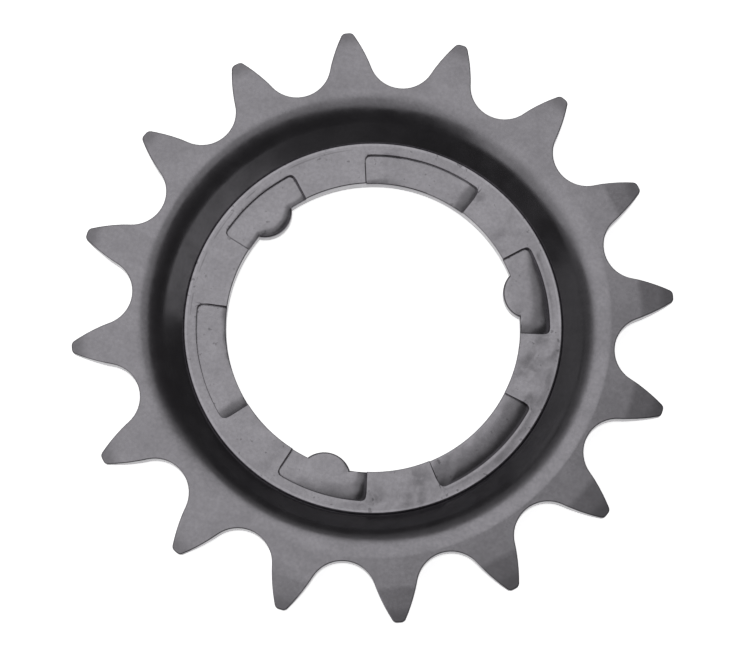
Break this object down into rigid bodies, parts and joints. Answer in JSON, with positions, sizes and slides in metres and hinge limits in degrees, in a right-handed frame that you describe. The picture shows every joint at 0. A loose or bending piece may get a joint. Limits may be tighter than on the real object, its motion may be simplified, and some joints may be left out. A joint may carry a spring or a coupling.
{
  "type": "bicycle hub sprocket",
  "caption": "Dished steel chain sprocket with a round bore, rounded driving lugs and shallow pockets in its inner flange.",
  "frame": {"origin": "on the bore's axis, in the plane of the flange's back face, on which the sprocket lies", "axes": "+Z along the bore's axis, from the flange's back to the hollow side of the dish; -Y through the first lug and the tooth over it"},
  "size_m": [0.071, 0.071, 0.0052],
  "materials": {
    "dark_steel": "satin, dark oxide on hardened steel"
  },
  "bodies": {
    "root": {"sprocket": "dark_steel"}
  },
  "joints": []
}
